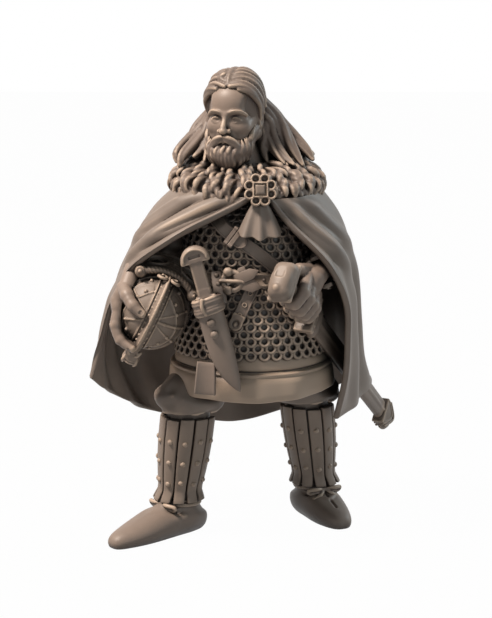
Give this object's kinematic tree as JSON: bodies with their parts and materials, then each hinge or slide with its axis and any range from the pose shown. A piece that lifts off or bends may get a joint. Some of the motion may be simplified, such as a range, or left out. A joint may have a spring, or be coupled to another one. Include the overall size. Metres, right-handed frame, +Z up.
{
  "type": "tabletop miniature figure",
  "caption": "Cast resin war leader miniature, cloaked and mail-clad, one arm round a crested helmet and the other hand on a sword hilt, standing on two flat soles.",
  "frame": {"origin": "on the ground plane under the middle of the figure", "axes": "+Z up from the soles to the head; the figure faces -Y; its own left hand is at +X"},
  "size_m": [0.0241, 0.0185, 0.0353],
  "materials": {
    "cloth": "satin cast resin, cloak, tunic and trousers",
    "mail": "satin cast resin with sculpted rings",
    "leather": "satin cast resin, straps, shoes and scabbards",
    "skin": "satin cast resin, face and hands",
    "hair": "satin cast resin, hair, beard and fur",
    "metalwork": "satin cast resin, splints, helmet, brooch and hilts"
  },
  "bodies": {
    "root": {"torso": "mail", "tunic_skirt": "cloth", "trousers": "cloth", "right_calf": "cloth", "left_calf": "cloth", "right_greave_splints": "metalwork", "left_greave_splints": "metalwork", "right_greave_rivets": "metalwork", "left_greave_rivets": "metalwork", "right_shoe": "leather", "left_shoe": "leather", "right_shoe_tie": "leather", "left_shoe_tie": "leather", "head": "skin", "beard": "hair", "hair": "hair", "fur_collar": "hair", "cloak": "cloth", "brooch": "metalwork", "brooch_stone": "metalwork", "throat_pleats": "cloth", "shoulder_strap": "leather", "strap_keeper": "leather", "waist_belt": "leather", "belt_buckle": "metalwork", "belt_tongue": "leather", "hem_tab": "leather", "knife_scabbard": "leather", "knife_rivets": "metalwork", "knife_bindings": "metalwork", "knife_handle": "leather", "knife_hanger": "leather", "right_arm": "cloth", "right_vambrace": "metalwork", "right_hand": "skin", "helmet_bowl": "metalwork", "helmet_ribs": "metalwork", "helmet_crest": "metalwork", "helmet_brow": "metalwork", "helmet_guard": "metalwork", "left_arm": "cloth", "left_vambrace": "metalwork", "left_hand": "skin", "sword_hilt": "metalwork", "sword_scabbard": "leather", "sword_chape": "metalwork"}
  },
  "joints": []
}
